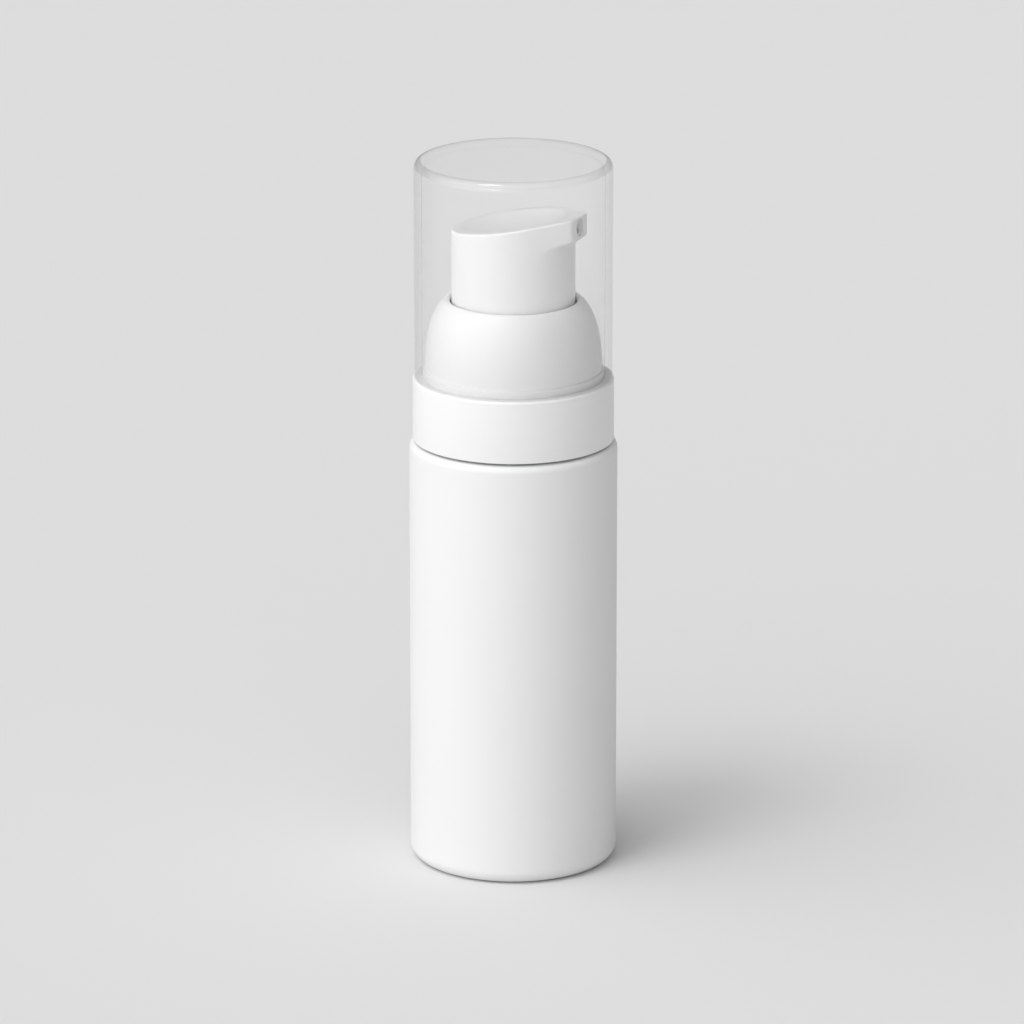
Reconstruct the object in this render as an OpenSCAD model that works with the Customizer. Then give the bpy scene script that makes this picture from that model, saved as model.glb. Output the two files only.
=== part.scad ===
// Airless pump bottle: a two-wall bottle with a rising piston, a spring-return
// lotion pump held by a screw closure, and a clear overcap.
// Millimetres, +Z up, origin at the middle of the foot, spout along +X.

/* [Bottle] */
// Outside diameter of the bottle
body_d = 35; // [34:0.5:38]
// Height of the bottle's shoulder above the ground
shoulder_z = 73.4; // [62:0.2:100]
// Radius of the rounded foot edge
foot_fillet = 2.3; // [1:0.1:2.8]
// Radius of the rounded shoulder edge
shoulder_fillet = 1.3; // [0.6:0.1:1.4]
// Wall of the outer bottle
shell_wall = 2; // [1.8:0.1:2.4]
// Thickness of the outer bottle's floor
floor_t = 1.6; // [1.2:0.1:2.4]
// Depth of the recess under the floor
foot_recess = 0.8; // [0.4:0.1:1.2]
// Width of the flat ring that the bottle stands on
foot_land = 2; // [1.2:0.1:3]
// Diameter of the air hole in the floor
vent_d = 2; // [1:0.1:4]

/* [Inner chamber] */
// Wall of the inner chamber
chamber_wall = 1.15; // [0.9:0.05:1.4]
// Thickness of the chamber's roof and rim
roof_t = 1.5; // [1.2:0.1:2]
// Thickness of the rim that hangs in the outer bottle
rim_t = 1; // [0.8:0.1:1.2]
// Wall of the neck
neck_wall = 1.4; // [1.2:0.1:1.8]
// Height of the neck above the shoulder
neck_h = 9; // [8.5:0.1:11]

/* [Thread] */
// Rise of the thread in one turn
thread_pitch = 3; // [2.8:0.1:3.4]
// Height of the thread ridge
thread_depth = 0.8; // [0.6:0.05:0.85]
// Width of the thread ridge at its root
thread_root = 1.2; // [1:0.05:1.3]
// Width of the thread ridge at its crest
thread_crest = 0.7; // [0.5:0.05:0.9]
// Length of the thread in turns
thread_turns = 1.25; // [1:0.05:1.4]

/* [Rising piston] */
// Height of the rising piston
follower_h = 13.2; // [12.8:0.1:16]
// Wall of the rising piston
follower_wall = 1.1; // [0.9:0.1:1.4]
// Clearance of the piston's lips in the chamber
lip_clearance = 0.03; // [0.02:0.01:0.08]

/* [Closure and collar] */
// Wall of the screw closure's skirt
nut_wall = 1.55; // [1.2:0.05:1.6]
// Thickness of the closure's top flange
nut_top_t = 1; // [0.8:0.1:1.2]
// How far the collar band stays inside the bottle's outline
collar_inset = 0.58; // [0.4:0.02:0.9]
// Wall of the collar band
collar_wall = 1.47; // [1:0.01:1.8]
// Gap between the bottle's shoulder and the collar band
collar_gap = 0.4; // [0.3:0.05:1]
// Draft of the collar band, at its top
collar_draft = 0.06; // [0:0.02:0.2]
// Rounding of the collar band's top edge
collar_edge = 0.35; // [0.2:0.05:0.5]

/* [Shroud] */
// Height of the bell-shaped shroud
shroud_h = 13.4; // [12.4:0.1:15]
// Wall of the shroud
shroud_wall = 1.1; // [0.9:0.05:1.3]
// Height of the centring ring at the shroud's base
ring_h = 1.45; // [1.2:0.05:2]
// Width over which the bell curves in towards its mouth
bell_curve = 5; // [4.4:0.1:6]
// Gap between the pump head and the shroud's mouth
mouth_gap = 0.4; // [0.3:0.05:0.8]

/* [Overcap] */
// Height of the overcap
overcap_h = 37.2; // [36.6:0.1:44]
// Wall of the overcap
overcap_wall = 1.3; // [1:0.05:1.4]
// Thickness of the overcap's top
overcap_top = 1.3; // [1:0.05:2]
// Outside rounding of the overcap's top edge
overcap_fillet = 1.5; // [0.8:0.1:2.4]
// How far the overcap stays inside the collar band's outline
overcap_inset = 0.27; // [0.1:0.01:0.5]

/* [Pump head] */
// Diameter of the pump head
head_d = 20.7; // [20:0.1:21.4]
// Height of the head's rim at the axis, above the shroud's mouth
head_rise = 13.4; // [12.6:0.1:14.4]
// Slope of the head's top, rising to the spout
head_slope = 9; // [6:0.5:12]
// Wall of the head
head_wall = 1.3; // [1:0.05:1.6]
// How far the head reaches down inside the shroud at rest
head_tuck = 2.6; // [2:0.1:3.4]
// Diameter of the finger dish in the head's top
dish_d = 17.4; // [14:0.2:18]
// Depth of the finger dish
dish_depth = 1.1; // [0.6:0.1:1.3]
// How far the spout's tip stands from the axis
spout_reach = 12.1; // [11.8:0.1:13.6]
// Width of the spout at its tip
spout_w = 7.6; // [6.4:0.1:9]
// Height at which the spout flares out, above the shroud's mouth
spout_z = 10; // [9.4:0.1:10.6]
// Rise of the spout's underside, from the head to the tip
spout_under = 1.5; // [1:0.1:2]
// Outside diameter of the nozzle insert
nozzle_d = 2.8; // [2.4:0.1:3]
// Bore of the nozzle insert
nozzle_bore = 1.6; // [1:0.1:1.8]
// Length of the nozzle insert
nozzle_l = 3.4; // [2.6:0.1:4]

/* [Pump engine] */
// Travel of the pump head
stroke = 5.5; // [4:0.1:5.8]
// Diameter of the pump cylinder's bore
pump_bore = 10.8; // [10:0.1:11.4]
// Wall of the pump cylinder
pump_wall = 1.2; // [1:0.05:1.4]
// Thickness of the pump's mounting flange
flange_t = 1.2; // [1:0.1:1.6]
// Thickness of the neck gasket
gasket_t = 0.7; // [0.5:0.05:1]
// Thickness of the housing cap's flange
cap_flange_t = 1.2; // [1:0.1:1.4]
// Height of the stem guide on the housing cap
guide_h = 2.7; // [2:0.1:3]
// Outside diameter of the lower stem
stem_d = 4; // [3.8:0.1:4.4]
// Bore of the lower stem
stem_bore = 2.2; // [2:0.1:2.6]
// Height of the stem head above its flange's underside
stem_head_h = 7; // [6.4:0.1:7.4]
// Length of the stem head's sleeve on the lower stem
sleeve_l = 4; // [3:0.1:5]
// Length of the valve rod inside the stem
rod_l = 4.5; // [3:0.1:6]
// How far the pump piston slips along its stem to open the ports
piston_slip = 0.8; // [0.5:0.05:1]
// Height of the pump piston
piston_h = 5.8; // [5.4:0.1:6.4]
// Diameter of the inlet ball
ball_d = 3.8; // [3.6:0.1:4]
// Lift of the inlet ball
ball_lift = 1; // [0.6:0.1:1.2]
// Diameter of the inlet hole
inlet_d = 2; // [1.6:0.1:2.4]

/* [Return spring] */
// Diameter of the spring wire
wire_d = 0.7; // [0.5:0.05:0.75]
// Diameter of the coil, at the middle of the wire
coil_d = 8.4; // [8:0.1:9]
// Number of turns
coil_turns = 6.5; // [5.5:0.5:7]
// Height of the spring's room, between the housing cap and the stem head
spring_room = 11.5; // [11.3:0.1:11.8]

/* [Fits] */
// Radial clearance of a running fit
run_fit = 0.05; // [0.03:0.01:0.08]
// Radial clearance between pieces that only pass each other
pass_gap = 0.15; // [0.12:0.01:0.25]
// Gap between a moving piece and its stop
stop_gap = 0.3; // [0.2:0.05:0.4]

/* [Hidden] */
$fn = 96;
eps = 0.01;
arc_steps = 8;
thread_steps = 36;
far = 100;

// Bottle
body_r = body_d / 2;
shell_bore_r = body_r - shell_wall;
rim_r = shell_bore_r + 0.45;
rim_seat_r = rim_r + run_fit;
rim_z = shoulder_z - rim_t;
floor_z = foot_recess + floor_t;
land_r = body_r - foot_fillet - foot_land;
chamber_or = shell_bore_r - pass_gap;
chamber_r = chamber_or - chamber_wall;
roof_z = shoulder_z - roof_t;
neck_top = shoulder_z + neck_h;

// Collar band, closure nut, thread and neck, from the bottle's outline inwards
band_r = body_r - collar_inset;
band_bore_r = band_r - collar_wall;
nut_r = band_bore_r - pass_gap;
nut_bore_r = nut_r - nut_wall;
thread_r = nut_bore_r - pass_gap;
neck_r = thread_r - thread_depth;
neck_bore_r = neck_r - neck_wall;

// Thread: the nut's ridge lies just under the neck's
thread_start_z = shoulder_z + 2.6;
flank_gap = 0.12;
thread_drop = (thread_root + thread_crest) / 2 + flank_gap;

// Stack of the pump's flange on the neck
gasket_z = neck_top + run_fit;
flange_z = gasket_z + gasket_t;
flange_top = flange_z + flange_t;
flange_r = neck_r + 0.1;
seat_z = flange_top + 0.1;

// Closure nut and collar band
band_lip_t = 1.35;
nut_lip = 3.5;
nut_upper_bore_r = flange_r + 0.2;
nut_upper_r = nut_upper_bore_r + 0.9;
nut_mouth_r = nut_upper_bore_r - nut_lip;
nut_z = shoulder_z + 0.9;
nut_shoulder_z = seat_z - band_lip_t;
nut_under_z = flange_top + run_fit;
nut_top_z = nut_under_z + nut_top_t;
band_z = shoulder_z + collar_gap;
grip_ribs = 6;

// Shroud and overcap
overcap_r = band_r - collar_draft - overcap_inset;
overcap_bore_r = overcap_r - overcap_wall;
ring_r = overcap_bore_r - 0.1;
bell_r = ring_r - 0.35;
bell_z = seat_z + ring_h + 1.1;
bell_top = seat_z + shroud_h;
mouth_r = head_d / 2 + mouth_gap;
overcap_z = seat_z;
overcap_top_z = overcap_z + overcap_h;

// Pump engine, from the flange down
bore_r = pump_bore / 2;
barrel_r = bore_r + pump_wall;
cap_plug_t = 1.3;
cap_plug_z = flange_top - cap_plug_t;
cap_flange_r = nut_mouth_r - 0.3;
cap_top = flange_top + cap_flange_t;
guide_r = stem_d / 2 + 1.3;
guide_top = cap_top + guide_h;
seal_r = bore_r - 1.7;
seal_z = cap_plug_z + run_fit;
seal_top = flange_top + 0.3;
collar_t = 1.2;
collar_top = cap_plug_z - stop_gap;
collar_z = collar_top - collar_t;
piston_top = collar_z - piston_slip - 0.1;
piston_z = piston_top - piston_h;
poppet_r = 3.3;
poppet_rim_z = piston_z - 0.6;
poppet_z = poppet_rim_z - 1;
cage_t = 0.8;
cage_top = poppet_z - stroke - stop_gap;
cage_z = cage_top - cage_t;
stem_r = stem_d / 2;
rod_r = stem_bore / 2 - 0.02;
stem_z = piston_z + 1.5;

// Inlet valve, under the cylinder's floor
ball_r = ball_d / 2;
ball_room_r = ball_r + 0.6;
inlet_r = inlet_d / 2;
seat_cone_h = (ball_room_r - inlet_r) * 0.87;
seat_angle = atan2(seat_cone_h, ball_room_r - inlet_r);
// The ball touches the cone: its centre lies this far above the cone's small end
ball_centre_h = (ball_r + run_fit - inlet_r * sin(seat_angle)) / cos(seat_angle);
stud_l = 0.6;
ball_room_z = cage_z - stud_l - ball_lift - 0.1 - ball_r - ball_centre_h;
housing_z = ball_room_z - 0.8;
inlet_boss_r = ball_room_r + 1.7;

// Rising piston: its well takes the pump housing at the end of its travel
follower_z = floor_z + stop_gap;
follower_seal_r = chamber_r - lip_clearance;
follower_body_r = chamber_r - 0.3;
well_r = barrel_r + 0.8;
follower_top = follower_z + follower_h;
well_floor_z = follower_z + 0.2 + follower_wall;
chamber_z = floor_z + stop_gap;

// Stem head and spring
seat_flange_z = cap_top + spring_room;
seat_flange_t = 1.2;
seat_flange_r = coil_d / 2 + 1;
sleeve_z = seat_flange_z - sleeve_l / 2;
stem_top = sleeve_z + sleeve_l;
stem_head_r = stem_r + 0.7;
stem_head_top = seat_flange_z + stem_head_h;
coil_z0 = cap_top + wire_d / 2 + run_fit;
coil_z1 = seat_flange_z - wire_d / 2 - run_fit;
end_pitch = wire_d + 0.5;
coil_rings = 8;
coil_sides = 6;

// Pump head
head_r = head_d / 2;
head_z = bell_top - head_tuck;
head_top_z = bell_top + head_rise;
head_bore_r = head_r - head_wall;
head_roof_t = dish_depth + head_wall;
flare_z = bell_top + spout_z;
socket_z = seat_flange_z + seat_flange_t + 0.2;
socket_bore_r = stem_head_r + run_fit;
socket_r = socket_bore_r + 1.2;
socket_floor_z = stem_head_top + stop_gap;
tip_half = spout_w / 2;
tip_round = 1.2;
duct_z0 = socket_floor_z + 1.9;
tip_top_z = head_top_z + spout_reach * tan(head_slope);
tip_under_z = flare_z + spout_under;
duct_z1 = (tip_top_z + tip_under_z) / 2;
duct_angle = atan2(duct_z1 - duct_z0, spout_reach);
duct_r = nozzle_d / 2 + 1;
duct_bore_r = 0.9;
nozzle_inset = 0.7;
rib_t = 1;

// Points of an arc about c, from angle a0 to a1
function arc(c, r, a0, a1, n = arc_steps) =
    [for (i = [0:n]) let (a = a0 + (a1 - a0) * i / n) c + r * [cos(a), sin(a)]];

// Points at distance d outside the arc of an ellipse about c, with radii rx and ry
function oval(c, rx, ry, d, a0, a1, n = arc_steps) =
    [for (i = [0:n])
        let (a = a0 + (a1 - a0) * i / n, out = [cos(a) / rx, sin(a) / ry])
        c + [rx * cos(a), ry * sin(a)] + d * out / norm(out)];

// Solid of revolution from an outline of [radius, height] points
module turned(points) {
    rotate_extrude() polygon(points);
}

// Sunk share of a thread ridge: 0 in the middle, 1 at each end
function run_out(i, n, ramp) = max(0, 1 - i / ramp, 1 - (n - i) / ramp);

// One section of a ridge, anticlockwise in the plane of radius and height
function ridge_section(root_r, tip_r) = root_r < tip_r
    ? [[root_r, -thread_root / 2], [tip_r, -thread_crest / 2],
       [tip_r, thread_crest / 2], [root_r, thread_root / 2]]
    : [[tip_r, -thread_crest / 2], [root_r, -thread_root / 2],
       [root_r, thread_root / 2], [tip_r, thread_crest / 2]];

// Triangles round the sections of a sweep, with a cap at each end
function sweep_faces(rings, sides) = concat(
    [for (k = [1:sides - 2]) [0, k + 1, k]],
    [for (i = [0:rings - 2]) for (k = [0:sides - 1])
        let (a = i * sides + k, b = i * sides + (k + 1) % sides)
        each [[a, b, b + sides], [a, b + sides, a + sides]]],
    let (e = (rings - 1) * sides) [for (k = [1:sides - 2]) [e, e + k, e + k + 1]]
);

// Right-hand helical ridge whose middle starts at height z.
// wall_r is the wall that it stands on, and its root is sunk into that wall.
module thread_ridge(wall_r, tip_r, z) {
    n = round(thread_turns * thread_steps);
    ramp = thread_steps / 12;
    into = sign(wall_r - tip_r);
    root_r = wall_r + 0.4 * into;
    buried_r = wall_r + 0.1 * into;
    points = [for (i = [0:n])
        let (a = 360 * i / thread_steps, t = tip_r + (buried_r - tip_r) * run_out(i, n, ramp))
        for (p = ridge_section(root_r, t))
            [p[0] * cos(a), p[0] * sin(a), z + thread_pitch * i / thread_steps + p[1]]];
    polyhedron(points, sweep_faces(n + 1, 4), convexity = 6);
}

// Outer bottle: closed foot with an air hole, open top with a seat for the chamber's rim
module outer_bottle() {
    color("white")
    difference() {
        turned(concat(
            [[0, foot_recess], [land_r - foot_recess, foot_recess], [land_r, 0]],
            arc([body_r - foot_fillet, foot_fillet], foot_fillet, -90, 0),
            arc([body_r - shoulder_fillet, shoulder_z - shoulder_fillet], shoulder_fillet, 0, 90),
            [[rim_seat_r, shoulder_z], [rim_seat_r, rim_z], [shell_bore_r, rim_z],
             [shell_bore_r, floor_z], [0, floor_z]]
        ));
        translate([0, 0, -eps]) cylinder(d = vent_d, h = floor_z + 1);
    }
}

// Inner chamber: hangs by its rim in the outer bottle and carries the threaded neck
module inner_chamber() {
    edge = 0.4;
    color("whitesmoke")
    union() {
        turned([
            [chamber_r, chamber_z], [chamber_or, chamber_z],
            [chamber_or, rim_z], [rim_r, rim_z], [rim_r, shoulder_z],
            [neck_r, shoulder_z], [neck_r, neck_top - edge], [neck_r - edge, neck_top],
            [neck_bore_r, neck_top], [neck_bore_r, roof_z], [chamber_r, roof_z]
        ]);
        thread_ridge(neck_r, thread_r, thread_start_z);
    }
}

// Rising piston: double lips outside and a well that takes the pump housing
module follower_piston() {
    lip = 1;
    under_z = follower_z + 0.2;
    inner_r = follower_body_r - follower_wall;
    web_z = follower_top - follower_wall;
    color("gainsboro")
    turned([
        [0, under_z], [well_r + follower_wall, under_z],
        [well_r + follower_wall, web_z - 1], [inner_r - 1, web_z - 1],
        [inner_r, web_z - 2], [inner_r, follower_z],
        [follower_seal_r - 0.3, follower_z], [follower_seal_r, follower_z + 0.3],
        [follower_seal_r, follower_z + lip], [follower_body_r, follower_z + 2 * lip],
        [follower_body_r, follower_top - 2 * lip], [follower_seal_r, follower_top - lip],
        [follower_seal_r, follower_top], [follower_seal_r - 0.35, follower_top],
        [follower_seal_r - 0.7, follower_top - lip], [follower_seal_r - 1.5, follower_top - lip],
        [follower_seal_r - 2, follower_top],
        [well_r + 0.4, follower_top], [well_r, follower_top - 0.4],
        [well_r, well_floor_z], [0, well_floor_z]
    ]);
}

// Closure nut: screws on the neck and holds the pump's flange down
module closure_nut() {
    rib_z = nut_z + 1.5;
    rib_h = nut_shoulder_z - 1.5 - rib_z;
    color("white")
    union() {
        turned([
            [nut_bore_r, nut_z], [nut_r, nut_z],
            [nut_r, nut_shoulder_z], [nut_upper_r, nut_shoulder_z],
            [nut_upper_r, nut_top_z], [nut_mouth_r, nut_top_z],
            [nut_mouth_r, nut_under_z], [nut_upper_bore_r, nut_under_z],
            [nut_upper_bore_r, neck_top - 0.6], [nut_bore_r, neck_top - 0.6 - thread_depth]
        ]);
        thread_ridge(nut_bore_r, neck_r + pass_gap, thread_start_z - thread_drop);
        for (i = [0:grip_ribs - 1])
            rotate([0, 0, i * 360 / grip_ribs])
                translate([nut_r - 0.4, -rib_t / 2, rib_z])
                    cube([0.4 + pass_gap - run_fit, rib_t, rib_h]);
    }
}

// Collar band: the visible sleeve round the closure nut
module collar_band() {
    edge = 0.15;
    top_r = band_r - collar_draft;
    color("white")
    turned(concat(
        [[band_bore_r, band_z], [band_r - edge, band_z], [band_r, band_z + edge]],
        arc([top_r - collar_edge, seat_z - collar_edge], collar_edge, 0, 90),
        [[nut_upper_r + run_fit, seat_z], [nut_upper_r + run_fit, nut_shoulder_z],
         [band_bore_r, nut_shoulder_z]]
    ));
}

// Shroud: the bell that hides the pump, with the ring that centres the overcap
module shroud() {
    half = shroud_wall / 2;
    step_z = nut_top_z + 0.2;
    edge = 0.3;
    c = [bell_r - bell_curve, bell_z];
    rx = bell_curve - half;
    // The middle of the wall follows the oval up to the round lip
    end = acos((mouth_r + half - c[0]) / rx);
    ry = (bell_top - half - bell_z) / sin(end);
    lip = c + [rx * cos(end), ry * sin(end)];
    lip_a = atan2(sin(end) / ry, cos(end) / rx);
    color("white")
    turned(concat(
        [[nut_upper_r + pass_gap, seat_z], [ring_r, seat_z]],
        arc([ring_r - edge, seat_z + ring_h - edge], edge, 0, 90, 4),
        oval(c, rx, ry, half, 0, end, 20),
        arc(lip, half, lip_a + 20, lip_a + 160, 6),
        oval(c, rx, ry, -half, end, 0, 14),
        [[bell_r - shroud_wall, step_z], [nut_upper_r + pass_gap, step_z]]
    ));
}

// Clear overcap: stands on the collar band round the shroud's ring
module overcap() {
    inner_fillet = 0.7;
    lead = 0.25;
    dimple = 0.2;
    roof = overcap_top_z - overcap_top;
    color("lightcyan", 0.35)
    turned(concat(
        [[0, roof]],
        arc([overcap_bore_r - inner_fillet, roof - inner_fillet], inner_fillet, 90, 0, 5),
        [[overcap_bore_r, overcap_z + lead], [overcap_bore_r + lead, overcap_z],
         [overcap_r, overcap_z]],
        arc([overcap_r - overcap_fillet, overcap_top_z - overcap_fillet], overcap_fillet, 0, 90),
        [[1.4, overcap_top_z], [1, overcap_top_z - dimple], [0, overcap_top_z - dimple]]
    ));
}

// Neck gasket, between the neck and the pump's flange
module neck_gasket() {
    color("lightgray")
    translate([0, 0, gasket_z])
    difference() {
        cylinder(r = neck_r - 0.1, h = gasket_t);
        translate([0, 0, -1]) cylinder(r = neck_bore_r + 0.2, h = gasket_t + 2);
    }
}

// Pump housing: cylinder, mounting flange, plug seal for the neck and inlet valve seat
module pump_housing() {
    plug_r = neck_bore_r - 0.1;
    plug_wall = 1;
    plug_z = flange_z - 2.6;
    step_z = cage_z - 1.3;
    color("ghostwhite")
    turned([
        [inlet_r, housing_z], [inlet_boss_r - 0.6, housing_z], [inlet_boss_r, housing_z + 0.6],
        [inlet_boss_r, step_z - 0.8], [barrel_r - 0.6, step_z - 0.8], [barrel_r, step_z - 0.2],
        [barrel_r, flange_z], [plug_r - plug_wall, flange_z], [plug_r - plug_wall, plug_z],
        [plug_r - 0.4, plug_z], [plug_r, plug_z + 0.4], [plug_r, flange_z],
        [flange_r, flange_z], [flange_r, flange_top], [bore_r, flange_top],
        [bore_r, cage_z], [ball_room_r, cage_z],
        [ball_room_r, ball_room_z + seat_cone_h], [inlet_r, ball_room_z]
    ]);
}

// Housing cap: closes the cylinder, guides the stem and carries the spring
module housing_cap() {
    color("ghostwhite")
    turned([
        [seal_r + run_fit, cap_plug_z], [bore_r - run_fit, cap_plug_z],
        [bore_r - run_fit, flange_top], [cap_flange_r, flange_top],
        [cap_flange_r, cap_top - 0.3], [cap_flange_r - 0.3, cap_top],
        [guide_r, cap_top], [guide_r, guide_top],
        [stem_r + 0.4, guide_top], [stem_r + run_fit, guide_top - 0.35],
        [stem_r + run_fit, seal_top + run_fit], [seal_r + run_fit, seal_top + run_fit]
    ]);
}

// Stem seal: soft ring with a lip, in the housing cap's pocket
module stem_seal() {
    mid_z = (seal_z + seal_top) / 2;
    color("silver")
    turned([
        [stem_r + 0.6, seal_z], [seal_r, seal_z], [seal_r, seal_top],
        [stem_r + 0.5, seal_top], [stem_r + run_fit, seal_top - 0.5],
        [stem_r + run_fit, mid_z - 0.2]
    ]);
}

// Ball cage: perforated disc with a stud that stops the ball
module ball_cage() {
    holes = 4;
    hole_r = ball_room_r / 3.6;
    color("gainsboro")
    union() {
        difference() {
            translate([0, 0, cage_z]) cylinder(r = bore_r - run_fit, h = cage_t);
            for (i = [0:holes - 1])
                rotate([0, 0, i * 360 / holes])
                    translate([ball_room_r - hole_r - 0.1, 0, cage_z - 1])
                        cylinder(r = hole_r, h = cage_t + 2, $fn = 32);
        }
        translate([0, 0, cage_z - stud_l]) cylinder(r = 0.7, h = stud_l + eps, $fn = 32);
    }
}

// Inlet ball, resting on its cone
module inlet_ball() {
    color("lightslategray")
    translate([0, 0, ball_room_z + ball_centre_h]) sphere(r = ball_r);
}

// Height of the spring's wire after t turns: close turns at both ends, open ones between
function coil_height(t) =
    let (
        open = (coil_z1 - coil_z0 - 2 * end_pitch) / (coil_turns - 2),
        low = min(t, 1) * end_pitch,
        high = max(t - (coil_turns - 1), 0) * end_pitch,
        middle = min(max(t - 1, 0), coil_turns - 2) * open
    ) coil_z0 + low + middle + high;

function coil_point(t, side) =
    let (a = 360 * t, b = 360 * side / coil_sides, r = coil_d / 2 + wire_d / 2 * cos(b))
    [r * cos(a), r * sin(a), coil_height(t) + wire_d / 2 * sin(b)];

// Return spring: one unbroken wire round the stem guide
module return_spring() {
    n = round(coil_turns * coil_rings);
    open_gap = (coil_z1 - coil_z0 - 2 * end_pitch) / (coil_turns - 2) - wire_d;
    echo(least_gap_between_turns = min(end_pitch - wire_d, open_gap));
    color("silver")
    polyhedron(
        [for (i = [0:n]) for (k = [0:coil_sides - 1]) coil_point(i / coil_rings, k)],
        sweep_faces(n + 1, coil_sides), convexity = 8);
}

// Lower stem: hollow, with a retaining collar and two ports at its foot
module stem() {
    port_w = 0.9;
    port_h = 1.2;
    color("snow")
    difference() {
        turned([
            [stem_bore / 2, stem_z], [stem_r, stem_z], [stem_r, collar_z],
            [bore_r - 0.8, collar_z], [bore_r - 0.8, collar_top], [stem_r, collar_top],
            [stem_r, stem_top], [stem_bore / 2, stem_top]
        ]);
        for (a = [0, 90])
            rotate([0, 0, a])
                translate([-stem_r - 1, -port_w / 2, stem_z - 1])
                    cube([2 * stem_r + 2, port_w, port_h + 1]);
    }
}

// Stem head: pressed on the lower stem, carries the spring's top and plugs into the head
module stem_head() {
    color("snow")
    turned([
        [stem_r + 0.02, sleeve_z], [stem_r + 0.9, sleeve_z],
        [stem_r + 0.9, seat_flange_z], [seat_flange_r, seat_flange_z],
        [seat_flange_r, seat_flange_z + seat_flange_t],
        [stem_head_r, seat_flange_z + seat_flange_t],
        [stem_head_r, stem_head_top - 0.3], [stem_head_r - 0.3, stem_head_top],
        [stem_bore / 2, stem_head_top], [stem_bore / 2, stem_top], [stem_r + 0.02, stem_top]
    ]);
}

// Valve rod: fluted pin in the stem with the poppet that closes the piston's sleeve
module valve_rod() {
    rod_top = stem_z + rod_l;
    flutes = 3;
    color("whitesmoke")
    difference() {
        turned([
            [0, poppet_z], [poppet_r - 0.4, poppet_z], [poppet_r, poppet_z + 0.4],
            [poppet_r, poppet_rim_z], [rod_r, poppet_rim_z + (poppet_r - rod_r) * 0.6],
            [rod_r, rod_top - 0.3], [rod_r - 0.3, rod_top], [0, rod_top]
        ]);
        for (i = [0:flutes - 1])
            rotate([0, 0, i * 360 / flutes])
                translate([rod_r * 0.6, -stem_r, stem_z - 0.6])
                    cube([stem_r, stem_d, rod_l + 1]);
    }
}

// Pump piston: sleeve on the stem and two lips on the cylinder
module pump_piston() {
    sleeve_r = stem_r + 0.08;
    lip_r = bore_r - lip_clearance;
    lip_h = 0.7;
    web_t = 1;
    mid_z = piston_z + piston_h / 2;
    reach = 2.5;
    color("lavender")
    turned([
        [sleeve_r, piston_z + 0.35], [sleeve_r + 0.6, piston_z], [sleeve_r + 1, piston_z],
        [sleeve_r + 1, mid_z - web_t / 2], [lip_r - 1, mid_z - web_t / 2],
        [lip_r - 0.6, mid_z - reach], [lip_r, mid_z - reach - 0.1],
        [lip_r, mid_z - reach + lip_h], [lip_r - 0.3, mid_z - 0.9],
        [lip_r - 0.3, mid_z + 0.9], [lip_r, mid_z + reach - lip_h],
        [lip_r, mid_z + reach + 0.1], [lip_r - 0.6, mid_z + reach],
        [lip_r - 1, mid_z + web_t / 2], [sleeve_r + 1, mid_z + web_t / 2],
        [sleeve_r + 1, piston_top], [sleeve_r, piston_top]
    ]);
}

// Everything above the head's sloping top, raised by dz
module above_top(dz = 0) {
    translate([0, 0, head_top_z + dz])
        rotate([0, -head_slope, 0])
            translate([-far / 2, -far / 2, 0]) cube(far);
}

// Plan of the spout: from the head's sides, tangent, to a tip with round corners
module spout_plan() {
    c = [spout_reach - tip_round, tip_half - tip_round];
    side = acos((head_r - tip_round) / norm(c)) + atan2(c[1], c[0]);
    corner = arc(c, tip_round, 0, side, 6);
    start = head_r * [cos(side), sin(side)];
    polygon(concat(
        [[0, 0], [start[0], -start[1]]],
        [for (i = [len(corner) - 1:-1:0]) [corner[i][0], -corner[i][1]]],
        corner, [start]
    ));
}

// Spout: flares out of the head at flare_z, with an underside that rises to the tip
module spout() {
    start = head_r - 1;
    difference() {
        translate([0, 0, flare_z]) linear_extrude(far / 4) spout_plan();
        translate([start, -far / 2, flare_z])
            rotate([0, -atan2(spout_under, spout_reach - start), 0])
                translate([0, 0, -far]) cube(far);
    }
}

// Finger dish: a shallow bite out of the sloping top
module dish() {
    r = dish_d / 2;
    ball = (r * r + dish_depth * dish_depth) / (2 * dish_depth);
    translate([0, 0, head_top_z])
        rotate([0, -head_slope, 0])
            translate([0, 0, ball - dish_depth]) sphere(r = ball);
}

// Places its children on the duct's axis, with +Z along it to the spout's mouth
module on_duct() {
    translate([0, 0, duct_z0]) rotate([0, 90 - duct_angle, 0]) children();
}

// Pump head: cylinder with a dished, sloping top, a spout and the stem's socket inside
module actuator_head() {
    duct_l = spout_reach / cos(duct_angle);
    color("white")
    difference() {
        union() {
            translate([0, 0, head_z]) cylinder(r = head_r, h = far / 4);
            spout();
        }
        above_top();
        dish();
        difference() {
            translate([0, 0, head_z - 1]) cylinder(r = head_bore_r, h = far / 4);
            above_top(-head_roof_t);
            translate([0, 0, socket_z]) cylinder(r = socket_r, h = far / 4);
            on_duct() cylinder(r = duct_r, h = far);
            for (a = [0, 90])
                rotate([0, 0, a])
                    translate([-head_r, -rib_t / 2, socket_z + 2]) cube([2 * head_r, rib_t, far]);
        }
        translate([0, 0, socket_z - 1]) cylinder(r = socket_bore_r, h = socket_floor_z - socket_z + 1);
        translate([0, 0, socket_floor_z - eps]) cylinder(r = stem_bore / 2, h = duct_z0 - socket_floor_z);
        on_duct() cylinder(r = duct_bore_r, h = far);
        on_duct() translate([0, 0, duct_l - nozzle_inset - nozzle_l])
            cylinder(r = nozzle_d / 2 + 0.02, h = far);
    }
}

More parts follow.
